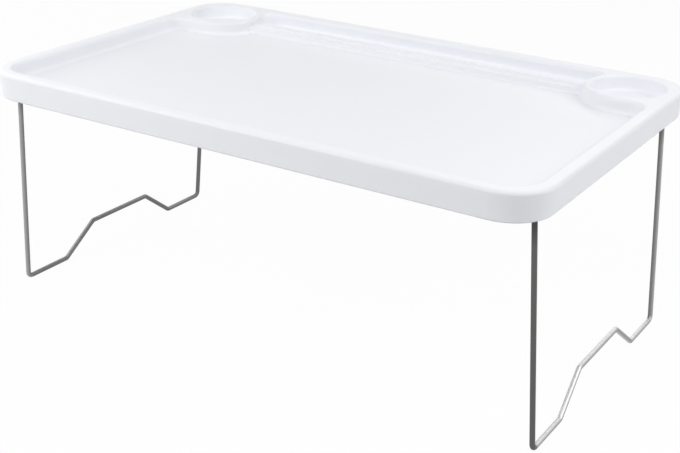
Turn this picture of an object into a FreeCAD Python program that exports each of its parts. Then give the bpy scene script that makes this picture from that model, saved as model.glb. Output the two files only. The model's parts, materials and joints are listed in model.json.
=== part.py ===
import FreeCAD, Part
import math
import os

# A bed tray table: a moulded tray on two bent wire legs that fold flat under it.
# Millimetres. X runs along the tray, +Y towards the cup rings at the back, +Z up.
# The origin is on the floor, under the middle of the tray.

# ---- tray shell ----
tray_length = 600.0
tray_depth = 380.0
tray_height = 246.0
tray_corner_radius = 41.0
skirt_height = 27.0
skirt_draft = 2.0
shell_wall = 2.5
floor_thickness = 2.5
rim_width = 15.0
rim_outer_round = 3.5
rim_inner_round = 4.5
skirt_edge_chamfer = 0.7
recess_depth = 15.0
recess_draft = 1.0
floor_fillet = 4.5

# ---- cup rings in the two back corners ----
cup_radius = 36.5
cup_edge_margin = 14.0
cup_ring_width = 8.0
cup_draft = 2.0
cup_floor_fillet = 4.0
cup_mouth_round = 2.5
block_corner_radius = 16.0
ring_blend_radius = 10.0

# ---- stepped ridge and pen trough between the rings ----
trough_width = 32.0
ridge_top_width = 7.0
ridge_top_drop = 5.0
ledge_width = 5.5
ledge_drop = 8.0
ridge_wall_slope = 1.5
ridge_step_slope = 0.75
ridge_round = 1.8
ledge_round = 1.2
ridge_foot_fillet = 3.0

# ---- wire legs ----
wire_diameter = 5.0
wire_bend_radius = 5.5
leg_setback = 15.5
leg_margin = 39.0
stem_taper = 4.0
leg_offset_y = -4.0
leg_lean = 4.0
foot_length = 58.5
foot_ramp_run = 43.0
foot_arch_height = 32.0
hook_reach = 29.0

# ---- pivots: half in the tray's seats, half in screwed clips ----
wire_to_floor_gap = 2.3
pivot_clearance = 0.05
clip_width = 24.0
clip_side_gap = 1.0
clip_wall = 2.0
clip_plate = 2.5
clip_flange = 3.5
clip_corner = 3.0
screw_inset = 14.5
screw_spacing = 14.0
screw_edge = 6.0
screw_core_radius = 1.25
screw_hole_clearance = 0.25
pilot_clearance = 0.05
screw_length = 7.5
screw_head_radius = 2.8
screw_head_height = 1.8
screw_head_flat = 1.4
screw_head_edge = 0.7
boss_radius = 4.0
screw_tip_gap = 0.4

# ---- moulded stops and ribs on the underside ----
stop_gap = 0.3
stop_width = 8.0
stop_lift = 0.5
rib_thickness = 2.0
rib_spacing = 75.0
gusset_lift = 6.0
rest_gap = 0.3

# ---- worked out from the sizes above ----
overlap = 0.5
tolerance = 1e-4
half_length = tray_length / 2
half_depth = tray_depth / 2
wire_radius = wire_diameter / 2
skirt_bottom = tray_height - skirt_height
floor_top = tray_height - recess_depth
floor_under = floor_top - floor_thickness
rim_under = tray_height - shell_wall
cup_x = half_length - cup_edge_margin - cup_radius
cup_y = half_depth - cup_edge_margin - cup_radius
ring_radius = cup_radius + cup_ring_width
trough_back_y = half_depth - rim_width
ridge_back_y = trough_back_y - trough_width
ridge_front_y = ridge_back_y - ridge_top_width
ledge_front_y = ridge_front_y - ledge_width
leg_width = tray_depth - 2 * leg_margin
pivot_x = half_length - leg_setback
pivot_z = floor_under - wire_to_floor_gap - wire_radius
leg_length = (pivot_z - wire_radius) / math.cos(math.radians(leg_lean))
arch_radius = leg_length - foot_arch_height
seat_radius = wire_radius + pivot_clearance
clip_centre = leg_width / 2 - wire_bend_radius - clip_side_gap - clip_width / 2
screw_x = pivot_x - screw_inset
clip_inner_x = screw_x - screw_edge
clip_outer_x = pivot_x + seat_radius + clip_wall + clip_flange
pilot_radius = screw_core_radius + pilot_clearance
screw_hole_radius = screw_core_radius + screw_hole_clearance
rib_bottom = pivot_z + wire_radius + rest_gap


def vec(x, y, z):
    return FreeCAD.Vector(x, y, z)


def line(start, end):
    return Part.LineSegment(start, end).toShape()


def arc_about(x, y, z, radius, start_deg, end_deg):
    """An arc in a level plane, from one bearing to another about (x, y)."""
    points = []
    for bearing in (start_deg, (start_deg + end_deg) / 2, end_deg):
        turn = math.radians(bearing)
        points.append(vec(x + radius * math.cos(turn), y + radius * math.sin(turn), z))
    return Part.Arc(*points).toShape()


def chain(arcs):
    """A closed wire of the given arcs, joined end to start by straight lines."""
    edges = []
    for index, arc in enumerate(arcs):
        start = arc.valueAt(arc.FirstParameter)
        before = arcs[index - 1]
        end = before.valueAt(before.LastParameter)
        if (start - end).Length > tolerance:
            edges.append(line(end, start))
        edges.append(arc)
    return Part.Wire(edges)


def box_between(low, high):
    return Part.makeBox(high[0] - low[0], high[1] - low[1], high[2] - low[2], vec(*low))


def prism_along_x(wire, x_low, x_high):
    """The solid of a section drawn in the plane X = 0, from x_low to x_high."""
    solid = Part.Face(wire).extrude(vec(x_high - x_low, 0, 0))
    solid.translate(vec(x_low, 0, 0))
    return solid


def prism_along_y(wire, y_low, y_high):
    """The solid of a section drawn in the plane Y = 0, from y_low to y_high."""
    solid = Part.Face(wire).extrude(vec(0, y_high - y_low, 0))
    solid.translate(vec(0, y_low, 0))
    return solid


def mirrored(shape):
    return shape.mirror(vec(0, 0, 0), vec(1, 0, 0))


def both_ends(shape):
    """A feature of the right-hand end and its mirror image at the left."""
    return [shape, mirrored(shape)]


def edges_at_height(shape, z):
    """The edges that lie wholly in the level plane z."""
    found = []
    for edge in shape.Edges:
        box = edge.BoundBox
        if abs(box.ZMin - z) < tolerance and abs(box.ZMax - z) < tolerance:
            found.append(edge)
    return found


# ---- outlines of the tray ----

def tray_outline(inset, z):
    """The rounded rectangle of the rim, drawn in by inset."""
    x = half_length - tray_corner_radius
    y = half_depth - tray_corner_radius
    radius = tray_corner_radius - inset
    corners = []
    for sign_x, sign_y, start in ((1, 1, 0), (-1, 1, 90), (-1, -1, 180), (1, -1, 270)):
        corners.append(arc_about(sign_x * x, sign_y * y, z, radius, start, start + 90))
    return chain(corners)


def recess_outline(inset, z):
    """The hollow inside the rim, round the corner blocks and their cup rings."""
    side_x = half_length - rim_width - inset
    back_y = half_depth - rim_width - inset
    front_radius = tray_corner_radius - rim_width - inset
    block_radius = block_corner_radius - inset
    blend_radius = ring_blend_radius - inset
    ring = ring_radius + inset
    block_y = cup_y - ring
    blend_y = back_y - blend_radius
    blend_dy = blend_y - cup_y
    blend_dx = math.sqrt((ring + blend_radius) ** 2 - blend_dy ** 2)
    meet = math.degrees(math.atan2(blend_dy, blend_dx))
    right = [
        arc_about(side_x - front_radius, front_radius - back_y, z, front_radius, 270, 360),
        arc_about(side_x - block_radius, block_y - block_radius, z, block_radius, 0, 90),
        arc_about(cup_x, cup_y, z, ring, 270, 180 - meet),
        arc_about(cup_x - blend_dx, blend_y, z, blend_radius, -meet, 90),
    ]
    left = [
        arc_about(blend_dx - cup_x, blend_y, z, blend_radius, 90, 180 + meet),
        arc_about(-cup_x, cup_y, z, ring, meet, -90),
        arc_about(block_radius - side_x, block_y - block_radius, z, block_radius, 90, 180),
        arc_about(front_radius - side_x, front_radius - back_y, z, front_radius, 180, 270),
    ]
    return chain(right + left)


def drafted(outline, inset_low, z_low, inset_high, z_high):
    """A solid between two insets of one outline."""
    wires = [outline(inset_low, z_low), outline(inset_high, z_high)]
    return Part.makeLoft(wires, True, True)


def outer_block():
    block = drafted(tray_outline, skirt_draft, skirt_bottom, 0, tray_height)
    block = block.makeChamfer(skirt_edge_chamfer, edges_at_height(block, skirt_bottom))
    return block.makeFillet(rim_outer_round, edges_at_height(block, tray_height))


def skirt_space(z_low, z_high):
    """The space inside the skirt wall between two heights."""
    def inset(z):
        return shell_wall + skirt_draft * (tray_height - z) / skirt_height
    return drafted(tray_outline, inset(z_low), z_low, inset(z_high), z_high)


def recess_space(grow):
    """The hollow above the tray's floor, grown all round by a wall."""
    z_low = floor_top - grow
    z_high = tray_height + grow
    slope = recess_draft / recess_depth
    low = slope * (tray_height - z_low) - grow
    high = slope * (tray_height - z_high) - grow
    return drafted(recess_outline, low, z_low, high, z_high)


def cup_space(grow):
    """The drafted well of the right-hand cup ring, grown all round by a wall."""
    slope = cup_draft / recess_depth
    low = cup_radius - slope * (recess_depth + grow) + grow
    high = cup_radius + slope * grow + grow
    height = recess_depth + 2 * grow
    return Part.makeCone(low, high, height, vec(cup_x, cup_y, floor_top - grow))


# ---- ridge ----

def filleted_section(points, radii):
    """A closed section in the plane X = 0 whose corners are rounded by radii."""
    count = len(points)
    arcs = []
    for index in range(count):
        corner = vec(0, *points[index])
        before = vec(0, *points[index - 1])
        after = vec(0, *points[(index + 1) % count])
        arcs.append(corner_arc(before, corner, after, radii[index]))
    edges = []
    for index in range(count):
        start, middle, end = arcs[index]
        previous_end = arcs[index - 1][2]
        if (start - previous_end).Length > tolerance:
            edges.append(line(previous_end, start))
        if (end - start).Length > tolerance:
            edges.append(Part.Arc(start, middle, end).toShape())
    return Part.Wire(edges)


def corner_arc(before, corner, after, radius):
    """Start, middle and end of the arc that rounds a corner."""
    to_before = (before - corner).normalize()
    to_after = (after - corner).normalize()
    half_angle = to_before.getAngle(to_after) / 2
    if radius == 0:
        return corner, corner, corner
    tangent = radius / math.tan(half_angle)
    inward = (to_before + to_after).normalize()
    centre = corner + inward * (radius / math.sin(half_angle))
    middle = centre - inward * radius
    return corner + to_before * tangent, middle, corner + to_after * tangent


def ridge_between_rings(corners):
    """A prism between the two rings' walls, of (y, z, corner radius) corners."""
    section = filleted_section([corner[:2] for corner in corners], [corner[2] for corner in corners])
    reach = cup_x - (ring_radius + cup_radius) / 2
    return prism_along_x(section, -reach, reach)


def ridge():
    """The stepped ridge, with its feet flared into the floor."""
    top = tray_height - ridge_top_drop
    ledge = tray_height - ledge_drop
    flare = ridge_wall_slope + ridge_foot_fillet
    return ridge_between_rings([
        (ridge_back_y + flare, floor_top - overlap, 0),
        (ridge_back_y + flare, floor_top, 0),
        (ridge_back_y + ridge_wall_slope, floor_top, ridge_foot_fillet),
        (ridge_back_y, top, ridge_round),
        (ridge_front_y, top, ridge_round),
        (ridge_front_y - ridge_step_slope, ledge, ledge_round),
        (ledge_front_y, ledge, ledge_round),
        (ledge_front_y - ridge_wall_slope, floor_top, ridge_foot_fillet),
        (ledge_front_y - flare, floor_top, 0),
        (ledge_front_y - flare, floor_top - overlap, 0),
    ])


def ridge_hollow():
    """The groove under the ridge, one wall thinner all round."""
    top = tray_height - ridge_top_drop - shell_wall
    ledge = tray_height - ledge_drop - shell_wall
    back = ridge_back_y - shell_wall
    step = ridge_front_y + shell_wall
    front = ledge_front_y + shell_wall
    return ridge_between_rings([
        (back, floor_under - overlap, 0),
        (back, top, 0),
        (step, top, 0),
        (step, ledge, 0),
        (front, ledge, 0),
        (front, floor_under - overlap, 0),
    ])


# ---- underside features ----

def rim_hollow():
    """The channel under the rim, the corner blocks and the rings' double walls."""
    space = skirt_space(floor_under - overlap, rim_under)
    space = space.makeFillet(rim_outer_round - shell_wall, edges_at_height(space, rim_under))
    for tool in [recess_space(shell_wall)] + both_ends(cup_space(shell_wall)):
        space = space.cut(tool)
    return space


def places_along(reach, spacing):
    """Evenly spaced places on both sides of the middle, up to reach."""
    count = int(reach / spacing)
    return [index * spacing for index in range(-count, count + 1)]


def rib_places_x():
    return places_along(half_length - tray_corner_radius, rib_spacing)


def rib_places_y():
    return places_along(half_depth - rim_width - tray_corner_radius, rib_spacing)


def gussets():
    """Thin webs across the channel, between the skirt and the recess wall."""
    low = skirt_bottom + gusset_lift
    webs = []
    half = rib_thickness / 2
    inner_x = half_length - rim_width
    inner_y = half_depth - rim_width
    for x in rib_places_x():
        webs.append(box_between((x - half, -half_depth, low), (x + half, -inner_y, rim_under)))
        webs.append(box_between((x - half, inner_y, low), (x + half, half_depth, rim_under)))
    for y in rib_places_y():
        web = box_between((inner_x, y - half, low), (half_length, y + half, rim_under))
        webs.extend(both_ends(web))
    return webs


def ribs():
    """A grid of low ribs under the floor, just clear of the wires of a folded leg."""
    half = rib_thickness / 2
    top = floor_under + overlap
    grid = []
    for x in rib_places_x():
        grid.append(box_between((x - half, -half_depth, rib_bottom), (x + half, half_depth, top)))
    for y in rib_places_y():
        grid.append(box_between((-half_length, y - half, rib_bottom), (half_length, y + half, top)))
    return grid


def pivot_places():
    """The Y centres of the front and back pivots."""
    return (leg_offset_y - clip_centre, leg_offset_y + clip_centre)


def seats():
    """Blocks under the tray that carry the top half of each pivot, and screw bosses."""
    solids = []
    half = clip_width / 2
    inner_x = pivot_x - seat_radius - clip_wall - clip_flange
    for y in pivot_places():
        block = box_between((inner_x, y - half, pivot_z), (clip_outer_x, y + half, rim_under))
        solids.extend(both_ends(block))
        for web_y in (y - half, y + half - rib_thickness):
            low = (screw_x, web_y, pivot_z)
            high = (inner_x + overlap, web_y + rib_thickness, rim_under)
            solids.extend(both_ends(box_between(low, high)))
        for side in (-1, 1):
            centre = vec(screw_x, y + side * screw_spacing / 2, pivot_z)
            boss = Part.makeCylinder(boss_radius, rim_under - pivot_z, centre)
            solids.extend(both_ends(boss))
    return solids


def seat_bores():
    """The half-round grooves for the wire and the blind holes for the screws."""
    tools = []
    depth = screw_length - clip_plate + screw_tip_gap
    for y in pivot_places():
        half = clip_width / 2 + overlap
        start = vec(pivot_x, y - half, pivot_z)
        tools.extend(both_ends(Part.makeCylinder(seat_radius, 2 * half, start, vec(0, 1, 0))))
        for side in (-1, 1):
            centre = vec(screw_x, y + side * screw_spacing / 2, pivot_z - overlap)
            hole = Part.makeCylinder(pilot_radius, depth + overlap, centre)
            tools.extend(both_ends(hole))
    return tools


def leg_stops():
    """Lugs on the end skirts that the leaning stems rest against."""
    lean = math.radians(leg_lean)
    face_offset = (wire_radius + stop_gap) / math.cos(lean)

    def face_x(z):
        return pivot_x + face_offset + (pivot_z - z) * math.tan(lean)

    low = skirt_bottom + stop_lift
    high = rim_under
    section = Part.makePolygon([vec(face_x(low), 0, low), vec(half_length, 0, low),
                                vec(half_length, 0, high), vec(face_x(pivot_z), 0, high),
                                vec(face_x(pivot_z), 0, pivot_z), vec(face_x(low), 0, low)])
    lugs = []
    for side in (-1, 1):
        y = leg_offset_y + side * leg_width / 2
        lug = prism_along_y(section, y - stop_width / 2, y + stop_width / 2)
        lugs.extend(both_ends(lug))
    return lugs


# ---- pieces ----

def inside_rim(edge):
    """True for an edge that lies within the rim's inner outline."""
    box = edge.BoundBox
    limit_x = half_length - rim_width + overlap
    limit_y = half_depth - rim_width + overlap
    return box.XMax < limit_x and box.XMin > -limit_x and box.YMax < limit_y and box.YMin > -limit_y


def is_well_mouth(edge):
    curve = edge.Curve
    return isinstance(curve, Part.Circle) and abs(curve.Radius - cup_radius) < tolerance


def make_tray():
    recess = recess_space(0)
    recess = recess.makeFillet(floor_fillet, edges_at_height(recess, floor_top))
    well = cup_space(0)
    well = well.makeFillet(cup_floor_fillet, edges_at_height(well, floor_top))
    top_spaces = [recess] + both_ends(well)

    tray = outer_block().cut(recess)
    rim_edges = [edge for edge in edges_at_height(tray, tray_height) if inside_rim(edge)]
    tray = tray.makeFillet(rim_inner_round, rim_edges)
    for tool in both_ends(well):
        tray = tray.cut(tool)
    mouths = [edge for edge in edges_at_height(tray, tray_height) if is_well_mouth(edge)]
    tray = tray.makeFillet(cup_mouth_round, mouths)
    tray = tray.fuse(ridge())

    for space in (skirt_space(skirt_bottom - overlap, floor_under), rim_hollow(), ridge_hollow()):
        tray = tray.cut(space)

    under = gussets() + ribs() + seats() + leg_stops()
    features = under[0].multiFuse(under[1:])
    features = features.common(skirt_space(skirt_bottom, tray_height))
    for space in top_spaces:
        features = features.cut(space)
    tray = tray.fuse(features)
    for tool in seat_bores():
        tray = tray.cut(tool)
    return tray.removeSplitter()


def make_right_leg():
    """One bent wire: hook, stem, foot, raised bar, foot, stem and hook."""
    stem = leg_width / 2
    foot_out = stem - stem_taper
    foot_in = foot_out - foot_length
    arch = foot_in - foot_ramp_run
    half = [
        (stem - hook_reach, 0),
        (stem, 0),
        (foot_out, -leg_length),
        (foot_in, -leg_length),
        (arch, -arch_radius),
    ]
    route = half + [(-y, z) for y, z in reversed(half)]
    points = [vec(0, y, z) for y, z in route]
    edges = []
    start = points[0]
    for index in range(1, len(points) - 1):
        bend = corner_arc(points[index - 1], points[index], points[index + 1], wire_bend_radius)
        edges.append(line(start, bend[0]))
        edges.append(Part.Arc(*bend).toShape())
        start = bend[2]
    edges.append(line(start, points[-1]))
    section = Part.Wire(Part.makeCircle(wire_radius, points[0], vec(0, 1, 0)))
    leg = Part.Wire(edges).makePipeShell([section], True, True)
    leg.rotate(vec(0, 0, 0), vec(0, 1, 0), -leg_lean)
    leg.translate(vec(pivot_x, leg_offset_y, pivot_z))
    return leg


def make_right_clip(y):
    """A saddle that holds the wire's hook up against its seat, with two screw holes."""
    outer = seat_radius + clip_wall
    plate_z = -clip_plate
    side = math.sqrt(outer ** 2 - clip_plate ** 2)
    inner_x = clip_inner_x - pivot_x
    outer_x = clip_outer_x - pivot_x
    section = Part.Wire([
        line(vec(inner_x, 0, 0), vec(inner_x, 0, plate_z)),
        line(vec(inner_x, 0, plate_z), vec(-side, 0, plate_z)),
        Part.Arc(vec(-side, 0, plate_z), vec(0, 0, -outer), vec(side, 0, plate_z)).toShape(),
        line(vec(side, 0, plate_z), vec(outer_x, 0, plate_z)),
        line(vec(outer_x, 0, plate_z), vec(outer_x, 0, 0)),
        line(vec(outer_x, 0, 0), vec(seat_radius, 0, 0)),
        Part.Arc(vec(seat_radius, 0, 0), vec(0, 0, -seat_radius), vec(-seat_radius, 0, 0)).toShape(),
        line(vec(-seat_radius, 0, 0), vec(inner_x, 0, 0)),
    ])
    clip = prism_along_y(section, -clip_width / 2, clip_width / 2)
    clip.translate(vec(pivot_x, y, pivot_z))
    corners = []
    for edge in clip.Edges:
        box = edge.BoundBox
        if box.XMax < clip_inner_x + overlap and box.ZLength > clip_plate / 2:
            corners.append(edge)
    clip = clip.makeFillet(clip_corner, corners)
    for offset in (-screw_spacing / 2, screw_spacing / 2):
        centre = vec(screw_x, y + offset, pivot_z - clip_plate - overlap)
        clip = clip.cut(Part.makeCylinder(screw_hole_radius, clip_plate + 2 * overlap, centre))
    return clip


def make_right_screws(y):
    """Two pan-head screws, driven upwards through a clip into the bosses."""
    head_z = pivot_z - clip_plate
    outline = [
        vec(0, 0, -screw_head_height),
        vec(screw_head_flat, 0, -screw_head_height),
        vec(screw_head_radius, 0, -screw_head_edge),
        vec(screw_head_radius, 0, 0),
        vec(screw_core_radius, 0, 0),
        vec(screw_core_radius, 0, screw_length),
        vec(0, 0, screw_length),
        vec(0, 0, -screw_head_height),
    ]
    section = Part.makePolygon(outline)
    screw = Part.Face(section).revolve(vec(0, 0, 0), vec(0, 0, 1), 360)
    screws = []
    for offset in (-screw_spacing / 2, screw_spacing / 2):
        placed = screw.copy()
        placed.translate(vec(screw_x, y + offset, head_z))
        screws.append(placed)
    return Part.makeCompound(screws)


def main():
    os.makedirs("parts", exist_ok=True)
    pieces = {"tray": make_tray()}
    right_leg = make_right_leg()
    pieces["right_leg"] = right_leg
    pieces["left_leg"] = mirrored(right_leg)
    for place, y in zip(("front", "back"), pivot_places()):
        clip = make_right_clip(y)
        screws = make_right_screws(y)
        pieces["right_" + place + "_clip"] = clip
        pieces["left_" + place + "_clip"] = mirrored(clip)
        pieces["right_" + place + "_screws"] = screws
        pieces["left_" + place + "_screws"] = mirrored(screws)
    for node, shape in pieces.items():
        shape.exportStep("parts/" + node + ".step")
        print(node, "valid" if shape.isValid() else "NOT VALID", len(shape.Solids), round(shape.Volume, 1))


main()
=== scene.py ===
import json
import math

import bmesh
import bpy
from mathutils import Matrix, Vector


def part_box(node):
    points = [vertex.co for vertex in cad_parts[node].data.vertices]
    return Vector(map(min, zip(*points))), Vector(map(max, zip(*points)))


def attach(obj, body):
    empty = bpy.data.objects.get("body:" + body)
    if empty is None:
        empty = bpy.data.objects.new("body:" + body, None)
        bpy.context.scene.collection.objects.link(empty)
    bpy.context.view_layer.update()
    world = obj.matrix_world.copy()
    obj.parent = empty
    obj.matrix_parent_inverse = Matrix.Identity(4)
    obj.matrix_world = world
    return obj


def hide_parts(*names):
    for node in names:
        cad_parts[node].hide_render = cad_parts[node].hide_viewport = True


# A white moulded bed tray on two folding wire legs, on a pale studio floor.
# Metres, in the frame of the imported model.

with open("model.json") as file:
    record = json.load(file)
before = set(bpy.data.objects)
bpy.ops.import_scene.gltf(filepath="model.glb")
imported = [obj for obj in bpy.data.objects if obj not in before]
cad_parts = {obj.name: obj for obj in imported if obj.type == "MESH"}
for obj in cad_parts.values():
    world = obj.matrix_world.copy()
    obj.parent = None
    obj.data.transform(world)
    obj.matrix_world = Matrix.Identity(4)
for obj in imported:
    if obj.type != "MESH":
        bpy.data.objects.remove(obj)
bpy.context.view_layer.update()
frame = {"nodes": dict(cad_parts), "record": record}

# ---- camera ----
CAMERA_AZIMUTH = math.radians(32.08)
CAMERA_ELEVATION = math.radians(23.29)
CAMERA_ROLL = math.radians(1.24)
CAMERA_DISTANCE = 1.1955
CAMERA_TARGET = Vector((0.0532, -0.0756, 0.1230))
CAMERA_LENS = 65.65
SENSOR_WIDTH = 36.0
VIEW_DEPTH = 48.0

# ---- studio ----
FLOOR_SIZE = 12.0
FLOOR_ALBEDO = 0.90
FLOOR_WHITENESS = 0.96
WHITE = (1.0, 1.0, 1.0, 1.0)
WORLD_COLOUR = (0.97, 0.98, 1.0, 1.0)
WORLD_LIGHT = 0.03
TRAY_MIDDLE = (0.0, 0.0, 0.2)
# The name of each soft box, its place, what it is aimed at, its width and its radiance.
SOFT_BOXES = (
    ("front_top_box", (0.0, -1.5, 1.9), TRAY_MIDDLE, 1.8, 1.80),
    ("right_top_box", (1.4, 0.1, 1.8), TRAY_MIDDLE, 1.6, 2.10),
    ("back_top_box", (0.0, 1.6, 1.7), TRAY_MIDDLE, 1.6, 1.20),
    ("near_left_box", (-0.8, -1.1, 0.9), (-0.2, -0.1, 0.2), 0.9, 3.20),
    ("left_box", (-1.7, 0.2, 0.9), (-0.2, 0.0, 0.2), 1.4, 1.35),
    ("right_box", (1.7, 0.3, 0.9), (0.2, 0.0, 0.2), 1.4, 1.20),
)

# ---- painted light and shade of the tray, by height, by place across it and by facing ----
# Painted shade along the skirt's bottom edge, which faces down into shade.
SKIRT_EDGE_LOW = 0.2196
SKIRT_EDGE_HIGH = 0.2204
SKIRT_EDGE_PAINTED_SHADE = 0.72
# Painted shade on the ridge and the rings where they face the front.
RIDGE_FRONT = 0.05
RIDGE_BACK = 0.145
RIDGE_BLEND = 0.005
RIDGE_FACING = -0.5
RIDGE_PAINTED_SHADE = 0.95
# Painted shade on the floor and a painted highlight on the rim, on level surfaces towards the front.
LEVEL_FRONT = 0.05
LEVEL_BACK = 0.12
LEVEL_FACING = (0.5, 0.9)
FLOOR_HEIGHT = 0.2315
RIM_HEIGHT = 0.2455
FLOOR_PAINTED_SHADE = 0.984
RIM_PAINTED_HIGHLIGHT = 1.015

# ---- tone of the wires: painted reflection, sheen and shade ----
# In each pair of painted tones the shaded side comes first, and for the dark stems the left leg.
# Painted reflection on the stems: two dark all round, two lighter on their outer flank.
DARK_STEM_PAINTED_TONES = (0.165, 0.125)
LIT_STEM_PAINTED_TONES = (0.17, 0.46)
# Painted sheen on the foot bars, strongest on the right leg.
LEFT_FOOT_PAINTED_SHEEN = (0.15, 0.27)
RIGHT_FOOT_PAINTED_SHEEN = (0.24, 0.70)
FOOT_FRONT_PAINTED_SHEEN = 0.50
FOOT_FRONT_FACING = (-0.15, -0.55)
FOOT_TOP = 0.038
STEM_FOOT = 0.055
LEG_MIDDLE = -0.004
FOOT_END = 0.1405
STEM_SIDE = 0.1435
STEM_BLEND = 0.02
# Painted shade on the stems close to the tray.
NEAR_TRAY_PAINTED_SHADE = 0.5
NEAR_TRAY_LOW = 0.190
NEAR_TRAY_HIGH = 0.215

# ---- grain of the plastic and the steel ----
CLOUD_SCALE = 5.0
MOTTLE_SCALE = 90.0
GRAIN_SCALE = 2600.0
GRAIN_STRENGTH = 0.10
GRAIN_DEPTH = 0.00004
PLASTIC_IOR = 1.49
TARNISH_SCALE = 60.0
STREAK_SCALE = 900.0
STREAK_STRENGTH = 0.06
STREAK_DEPTH = 0.00003

# ---- sockets of a Mix node, which has them by number only ----
MIX_VALUES = (2, 3)
MIX_VALUE = 0
MIX_COLOURS = (6, 7)
MIX_COLOUR = 2

# ---- screws ----
HEAD_RADIUS = 0.0028
HEAD_HEIGHT = 0.0018
HEAD_EDGE = 0.0007
CROWN_STEPS = 6
SCREW_SIDES = 32
THREAD_CREST = 0.00125
THREAD_ROOT = 0.00095
THREAD_PITCH = 0.0010
ROWS_PER_TURN = 8
TIP_LENGTH = 0.0015
TIP_SHARE = 0.15
RECESS_SPAN = 0.0028
RECESS_WIDTH = 0.0007
RECESS_DEPTH = 0.0009
RECESS_FLARE = 1.25
SHARP_ANGLE = math.radians(35)


def make_camera():
    data = bpy.data.cameras.new("camera")
    data.sensor_fit = "HORIZONTAL"
    data.sensor_width = SENSOR_WIDTH
    data.lens = CAMERA_LENS
    data.clip_end = VIEW_DEPTH
    camera = bpy.data.objects.new("camera", data)
    bpy.context.scene.collection.objects.link(camera)
    level = math.cos(CAMERA_ELEVATION)
    back = Vector((
        math.sin(CAMERA_AZIMUTH) * level,
        -math.cos(CAMERA_AZIMUTH) * level,
        math.sin(CAMERA_ELEVATION),
    ))
    place = Matrix.Translation(CAMERA_TARGET + CAMERA_DISTANCE * back)
    turn = Matrix.Rotation(CAMERA_AZIMUTH, 4, "Z")
    tilt = Matrix.Rotation(math.pi / 2 - CAMERA_ELEVATION, 4, "X")
    roll = Matrix.Rotation(CAMERA_ROLL, 4, "Z")
    camera.matrix_world = place @ turn @ tilt @ roll
    bpy.context.scene.camera = camera


# ---- node helpers ----

def new_tree(name):
    """A material's empty node tree and its output."""
    material = bpy.data.materials.new(name)
    material.use_nodes = True
    tree = material.node_tree
    tree.nodes.clear()
    return material, tree, tree.nodes.new("ShaderNodeOutputMaterial")


def add(tree, kind, links=(), **settings):
    """A node with some sockets set or linked and its properties set by name."""
    node = tree.nodes.new(kind)
    for key, value in settings.items():
        setattr(node, key, value)
    for socket, value in dict(links).items():
        if isinstance(value, bpy.types.NodeSocket):
            tree.links.new(value, node.inputs[socket])
        else:
            node.inputs[socket].default_value = value
    return node


def math_node(tree, operation, first, second=0.0):
    return add(tree, "ShaderNodeMath", {0: first, 1: second}, operation=operation).outputs[0]


def scaled(tree, value, low, high, to_low, to_high):
    """A value between low and high, turned into one between to_low and to_high."""
    return add(tree, "ShaderNodeMapRange", {
        "Value": value,
        "From Min": low,
        "From Max": high,
        "To Min": to_low,
        "To Max": to_high,
    }).outputs[0]


def share(tree, value, none, full):
    """0 where the value is none, 1 where it is full, and in between between them."""
    return scaled(tree, value, none, full, 0.0, 1.0)


def mixed(tree, factor, first, second):
    sockets = {"Factor": factor, MIX_VALUES[0]: first, MIX_VALUES[1]: second}
    return add(tree, "ShaderNodeMix", sockets).outputs[MIX_VALUE]


def blended(tree, factor, first, second):
    sockets = {"Factor": factor, MIX_COLOURS[0]: (*first, 1), MIX_COLOURS[1]: (*second, 1)}
    return add(tree, "ShaderNodeMix", sockets, data_type="RGBA").outputs[MIX_COLOUR]


def toned(tree, colour, tone):
    return add(tree, "ShaderNodeVectorMath", {0: colour, "Scale": tone}, operation="SCALE").outputs[0]


def parts_of(tree, vector):
    return add(tree, "ShaderNodeSeparateXYZ", {0: vector}).outputs


def object_position(tree):
    return add(tree, "ShaderNodeTexCoord").outputs["Object"]


def object_facing(tree):
    return add(tree, "ShaderNodeTexCoord").outputs["Normal"]


def noise(tree, position, scale, detail):
    sockets = {"Vector": position, "Scale": scale, "Detail": detail}
    return add(tree, "ShaderNodeTexNoise", sockets).outputs["Fac"]


def bump(tree, height, strength, depth):
    sockets = {"Height": height, "Strength": strength, "Distance": depth}
    return add(tree, "ShaderNodeBump", sockets).outputs[0]


def seen_directly(tree):
    """1 for rays from the camera, also by way of metal or glass, and 0 for light."""
    path = add(tree, "ShaderNodeLightPath").outputs
    seen = math_node(tree, "MAXIMUM", path["Is Camera Ray"], path["Is Glossy Ray"])
    return math_node(tree, "MAXIMUM", seen, path["Is Transmission Ray"])


# ---- studio ----

def mixed_shader(tree, factor, first, second):
    sockets = {0: factor, 1: first.outputs[0], 2: second.outputs[0]}
    return add(tree, "ShaderNodeMixShader", sockets).outputs[0]


def floor_material():
    """A pale floor, seen nearly white, that keeps a little of the object's shadow."""
    material, tree, output = new_tree("studio_floor")
    lit = add(tree, "ShaderNodeBsdfDiffuse", {"Color": (FLOOR_ALBEDO, FLOOR_ALBEDO, FLOOR_ALBEDO, 1)})
    white = add(tree, "ShaderNodeEmission", {"Color": WHITE, "Strength": 1.0})
    whiteness = math_node(tree, "MULTIPLY", seen_directly(tree), FLOOR_WHITENESS)
    tree.links.new(mixed_shader(tree, whiteness, lit, white), output.inputs["Surface"])
    return material


def make_floor():
    half = FLOOR_SIZE / 2
    mesh = bpy.data.meshes.new("studio_floor")
    corners = [(-half, -half, 0), (half, -half, 0), (half, half, 0), (-half, half, 0)]
    mesh.from_pydata(corners, [], [(0, 1, 2, 3)])
    mesh.materials.append(floor_material())
    floor = bpy.data.objects.new("studio_floor", mesh)
    bpy.context.scene.collection.objects.link(floor)


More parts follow.
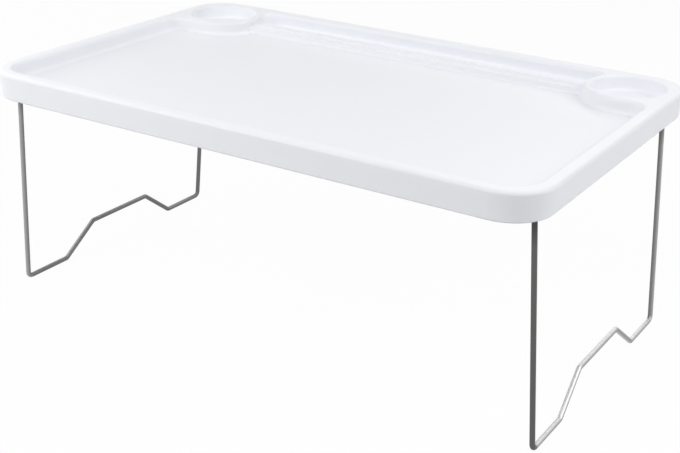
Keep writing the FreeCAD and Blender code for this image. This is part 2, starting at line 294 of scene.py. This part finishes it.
def make_world():
    """Faint light from all around, seen as white."""
    world = bpy.data.worlds.new("studio")
    bpy.context.scene.world = world
    world.use_nodes = True
    tree = world.node_tree
    tree.nodes.clear()
    output = add(tree, "ShaderNodeOutputWorld")
    light = add(tree, "ShaderNodeBackground", {"Color": WORLD_COLOUR, "Strength": WORLD_LIGHT})
    white = add(tree, "ShaderNodeBackground", {"Color": WHITE, "Strength": 1.0})
    tree.links.new(mixed_shader(tree, seen_directly(tree), light, white), output.inputs["Surface"])


def soft_light(name, place, target, size, radiance):
    """A square soft box whose lit face has the given radiance."""
    data = bpy.data.lights.new(name, "AREA")
    data.shape = "SQUARE"
    data.size = size
    data.energy = radiance * math.pi * size * size
    light = bpy.data.objects.new(name, data)
    bpy.context.scene.collection.objects.link(light)
    aim = (Vector(target) - Vector(place)).to_track_quat("-Z", "Y")
    light.matrix_world = Matrix.Translation(place) @ aim.to_matrix().to_4x4()


# ---- tones ----

def tray_painted_light(tree):
    """Painted shade on the skirt's edge and the front of ridge and rings, and painted light that makes
    the rim lighter than the floor.
    """
    place = parts_of(tree, object_position(tree))
    facing = parts_of(tree, object_facing(tree))
    edge = scaled(tree, place["Z"], SKIRT_EDGE_LOW, SKIRT_EDGE_HIGH, SKIRT_EDGE_PAINTED_SHADE, 1.0)
    is_front = share(tree, facing["Y"], 0.0, RIDGE_FACING)
    is_far = share(tree, place["Y"], RIDGE_FRONT - RIDGE_BLEND, RIDGE_FRONT)
    is_near = share(tree, place["Y"], RIDGE_BACK, RIDGE_BACK - RIDGE_BLEND)
    is_ridge = math_node(tree, "MULTIPLY", is_front, math_node(tree, "MULTIPLY", is_far, is_near))
    tone = math_node(tree, "MULTIPLY", edge, mixed(tree, is_ridge, 1.0, RIDGE_PAINTED_SHADE))
    is_up = share(tree, facing["Z"], *LEVEL_FACING)
    is_fore = share(tree, place["Y"], LEVEL_BACK, LEVEL_FRONT)
    level = scaled(tree, place["Z"], FLOOR_HEIGHT, RIM_HEIGHT, FLOOR_PAINTED_SHADE, RIM_PAINTED_HIGHLIGHT)
    level = mixed(tree, math_node(tree, "MULTIPLY", is_up, is_fore), 1.0, level)
    return math_node(tree, "MULTIPLY", tone, level)


def stem_painted_light(tree, side, place, facing):
    """Painted reflection on the stems, two dark all round and two with a lighter outer flank, and
    painted shade on all of them close to the tray.
    """
    steepest = math.sqrt(2)
    flank = math_node(tree, "MULTIPLY", side, math_node(tree, "ADD", facing["X"], facing["Y"]))
    lit = scaled(tree, flank, -steepest, steepest, *LIT_STEM_PAINTED_TONES)
    dark = scaled(tree, side, -1.0, 1.0, *DARK_STEM_PAINTED_TONES)
    is_lit = share(tree, math_node(tree, "MULTIPLY", side, place["Y"]), -STEM_BLEND, STEM_BLEND)
    painted_tray_shade = scaled(tree, place["Z"], NEAR_TRAY_LOW, NEAR_TRAY_HIGH, 1.0, NEAR_TRAY_PAINTED_SHADE)
    return math_node(tree, "MULTIPLY", mixed(tree, is_lit, dark, lit), painted_tray_shade)


def foot_painted_light(tree, side, facing):
    """A painted sheen on the foot bars, lighter on their upper left, and on the right leg towards the
    front.
    """
    steepest = math.sqrt(2)
    top_left = math_node(tree, "SUBTRACT", facing["Z"], facing["X"])
    left = scaled(tree, top_left, -steepest, steepest, *LEFT_FOOT_PAINTED_SHEEN)
    right = scaled(tree, top_left, -steepest, steepest, *RIGHT_FOOT_PAINTED_SHEEN)
    is_front = share(tree, facing["Y"], *FOOT_FRONT_FACING)
    right = mixed(tree, is_front, right, FOOT_FRONT_PAINTED_SHEEN)
    return mixed(tree, share(tree, side, -1.0, 1.0), left, right)


def wire_painted_light(tree):
    """The foot bars' painted sheen low down between the stems, and the stems' painted reflection and
    shade elsewhere.
    """
    place = parts_of(tree, object_position(tree))
    facing = parts_of(tree, object_facing(tree))
    side = math_node(tree, "SIGN", place["X"])
    stem = stem_painted_light(tree, side, place, facing)
    foot = foot_painted_light(tree, side, facing)
    is_low = share(tree, place["Z"], STEM_FOOT, FOOT_TOP)
    from_middle = math_node(tree, "ABSOLUTE", math_node(tree, "SUBTRACT", place["Y"], LEG_MIDDLE))
    is_between = share(tree, from_middle, STEM_SIDE, FOOT_END)
    return mixed(tree, math_node(tree, "MULTIPLY", is_low, is_between), stem, foot)


# ---- materials ----

def moulded_plastic(name, light, dark, roughness, painted_light_of=None):
    """White plastic: faint clouding of the tone and gloss, a fine moulded grain and, where a tone
    function is given, its painted light and shade.
    """
    material, tree, output = new_tree(name)
    position = object_position(tree)
    colour = blended(tree, noise(tree, position, CLOUD_SCALE, detail=3.0), light, dark)
    if painted_light_of:
        colour = toned(tree, colour, painted_light_of(tree))
    mottle = noise(tree, position, MOTTLE_SCALE, detail=4.0)
    grain = noise(tree, position, GRAIN_SCALE, detail=2.0)
    shader = add(tree, "ShaderNodeBsdfPrincipled", {
        "Base Color": colour,
        "Roughness": scaled(tree, mottle, 0.0, 1.0, *roughness),
        "IOR": PLASTIC_IOR,
        "Normal": bump(tree, grain, GRAIN_STRENGTH, GRAIN_DEPTH),
    })
    tree.links.new(shader.outputs[0], output.inputs["Surface"])
    return material


def satin_steel(name, light, dark, roughness, painted_light_of=None):
    """Drawn and plated steel: a faint mottled tone, a fine uneven surface, a satin gloss and, where a
    tone function is given, its painted light and shade.
    """
    material, tree, output = new_tree(name)
    position = object_position(tree)
    colour = blended(tree, noise(tree, position, TARNISH_SCALE, detail=3.0), light, dark)
    if painted_light_of:
        colour = toned(tree, colour, painted_light_of(tree))
    streaks = noise(tree, position, STREAK_SCALE, detail=2.0)
    shader = add(tree, "ShaderNodeBsdfPrincipled", {
        "Base Color": colour,
        "Metallic": 1.0,
        "Roughness": scaled(tree, streaks, 0.0, 1.0, *roughness),
        "Normal": bump(tree, streaks, STREAK_STRENGTH, STREAK_DEPTH),
    })
    tree.links.new(shader.outputs[0], output.inputs["Surface"])
    return material


def make_finishes():
    """Each slot's material, from its lightest and darkest tone and its range of roughness."""
    return {
        "tray_plastic": moulded_plastic(
            "tray_plastic",
            light=(0.892, 0.903, 0.940),
            dark=(0.877, 0.889, 0.927),
            roughness=(0.38, 0.46),
            # Painted light and shade of the tray.
            painted_light_of=tray_painted_light,
        ),
        "clip_plastic": moulded_plastic(
            "clip_plastic",
            light=(0.83, 0.84, 0.85),
            dark=(0.80, 0.81, 0.82),
            roughness=(0.40, 0.50),
        ),
        "leg_wire": satin_steel(
            "leg_wire",
            light=(1.0, 1.0, 0.99),
            dark=(0.90, 0.90, 0.89),
            roughness=(0.42, 0.52),
            # Painted reflection, sheen and shade of the wires.
            painted_light_of=wire_painted_light,
        ),
        "screw_steel": satin_steel(
            "screw_steel",
            light=(0.55, 0.55, 0.54),
            dark=(0.45, 0.45, 0.44),
            roughness=(0.25, 0.40),
        ),
    }


def dress_nodes(finishes):
    """Gives every CAD node the material of its slot."""
    for part in frame["record"]["subparts"]:
        node = frame["nodes"][part["node"]]
        node.data.materials.clear()
        node.data.materials.append(finishes[part["material_slot"]])


# ---- screws ----

def lathe(name, rings):
    """A closed mesh from rings of points about Z, with its two ends closed by fans."""
    sides = len(rings[0])
    points = [point for ring in rings for point in ring]
    faces = []
    for first in range(0, len(points) - sides, sides):
        for side in range(sides):
            after = (side + 1) % sides
            faces.append((first + side, first + after, first + sides + after, first + sides + side))
    bottom = len(points)
    top = bottom + 1
    points.append((0.0, 0.0, rings[0][0][2]))
    points.append((0.0, 0.0, rings[-1][0][2]))
    last = bottom - sides
    for side in range(sides):
        after = (side + 1) % sides
        faces.append((bottom, after, side))
        faces.append((top, last + side, last + after))
    mesh = bpy.data.meshes.new(name)
    mesh.from_pydata(points, [], faces)
    return mesh


def plain_ring(radius, height):
    ring = []
    for side in range(SCREW_SIDES):
        angle = 2 * math.pi * side / SCREW_SIDES
        ring.append((radius * math.cos(angle), radius * math.sin(angle), height))
    return ring


def thread_ring(height, taper):
    """One ring of the thread, whose crest climbs by the pitch in each turn."""
    ring = []
    for side in range(SCREW_SIDES):
        around = side / SCREW_SIDES
        phase = (height / THREAD_PITCH - around) % 1.0
        crest = 1 - abs(2 * phase - 1)
        radius = taper * (THREAD_ROOT + (THREAD_CREST - THREAD_ROOT) * crest)
        angle = 2 * math.pi * around
        ring.append((radius * math.cos(angle), radius * math.sin(angle), height))
    return ring


def screw_mesh(length):
    """A pan-head screw, head down, its bearing face at height 0 and its tip at the top."""
    rings = []
    for step in range(1, CROWN_STEPS + 1):
        turn = math.pi / 2 * step / CROWN_STEPS
        crown = (HEAD_HEIGHT - HEAD_EDGE) * math.cos(turn)
        rings.append(plain_ring(HEAD_RADIUS * math.sin(turn), -HEAD_EDGE - crown))
    rings.append(plain_ring(HEAD_RADIUS, 0.0))
    rings.append(plain_ring(THREAD_CREST, 0.0))
    rows = round(length / THREAD_PITCH * ROWS_PER_TURN)
    for row in range(1, rows + 1):
        height = length * row / rows
        taper = min(1.0, TIP_SHARE + (length - height) / TIP_LENGTH)
        rings.append(thread_ring(height, taper))
    return lathe("screw_blank", rings)


def recess_mesh():
    """A cross that narrows towards its floor, to be cut into the crown."""
    wide = RECESS_SPAN / 2
    slim = RECESS_WIDTH / 2
    corners = [
        (wide, -slim), (wide, slim), (slim, slim), (slim, wide), (-slim, wide), (-slim, slim),
        (-wide, slim), (-wide, -slim), (-slim, -slim), (-slim, -wide), (slim, -wide), (slim, -slim),
    ]
    mouth = -HEAD_HEIGHT - RECESS_DEPTH
    floor = -HEAD_HEIGHT + RECESS_DEPTH
    points = [(x * RECESS_FLARE, y * RECESS_FLARE, mouth) for x, y in corners]
    points += [(x, y, floor) for x, y in corners]
    count = len(corners)
    faces = [tuple(reversed(range(count))), tuple(range(count, 2 * count))]
    for first in range(count):
        after = (first + 1) % count
        faces.append((first, after, count + after, count + first))
    mesh = bpy.data.meshes.new("recess")
    mesh.from_pydata(points, [], faces)
    return mesh


def cut_mesh(body_mesh, tool_mesh):
    """What is left of the first mesh when the second is cut away."""
    body = bpy.data.objects.new("cut_body", body_mesh)
    tool = bpy.data.objects.new("cut_tool", tool_mesh)
    for item in (body, tool):
        bpy.context.scene.collection.objects.link(item)
    cut = body.modifiers.new("cut", "BOOLEAN")
    cut.operation = "DIFFERENCE"
    cut.solver = "EXACT"
    cut.object = tool
    graph = bpy.context.evaluated_depsgraph_get()
    result = bpy.data.meshes.new_from_object(body.evaluated_get(graph))
    for item in (body, tool):
        bpy.data.objects.remove(item)
    return result


def screw_pair_mesh(low, high, finish):
    """Two screws that span the given box in Y and Z, with the origin between their bearing faces."""
    single = cut_mesh(screw_mesh(high[2] - low[2] - HEAD_HEIGHT), recess_mesh())
    offset = (high[1] - low[1]) / 2 - HEAD_RADIUS
    pair = bmesh.new()
    pair.from_mesh(single)
    bmesh.ops.translate(pair, verts=pair.verts, vec=(0, 2 * offset, 0))
    pair.from_mesh(single)
    bmesh.ops.translate(pair, verts=pair.verts, vec=(0, -offset, 0))
    mesh = bpy.data.meshes.new("pan_head_screws")
    pair.to_mesh(mesh)
    pair.free()
    mesh.shade_smooth()
    mesh.set_sharp_from_angle(angle=SHARP_ANGLE)
    mesh.materials.clear()
    mesh.materials.append(finish)
    return mesh


def make_screws(finish):
    """Cross-recess screws in the place of the plain ones, a pair under each clip."""
    low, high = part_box("right_front_screws")
    mesh = screw_pair_mesh(low, high, finish)
    plain_screws = [name for name in frame["nodes"] if name.endswith("_screws")]
    for node in plain_screws:
        low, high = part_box(node)
        screws = bpy.data.objects.new(node.replace("_screws", "_cross_head_screws"), mesh)
        bpy.context.scene.collection.objects.link(screws)
        screws.location = ((low[0] + high[0]) / 2, (low[1] + high[1]) / 2, low[2] + HEAD_HEIGHT)
        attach(screws, "tray")
        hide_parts(node)


make_camera()
make_world()
make_floor()
for soft_box in SOFT_BOXES:
    soft_light(*soft_box)
finishes = make_finishes()
dress_nodes(finishes)
make_screws(finishes["screw_steel"])

bpy.context.scene.view_settings.view_transform = "Standard"
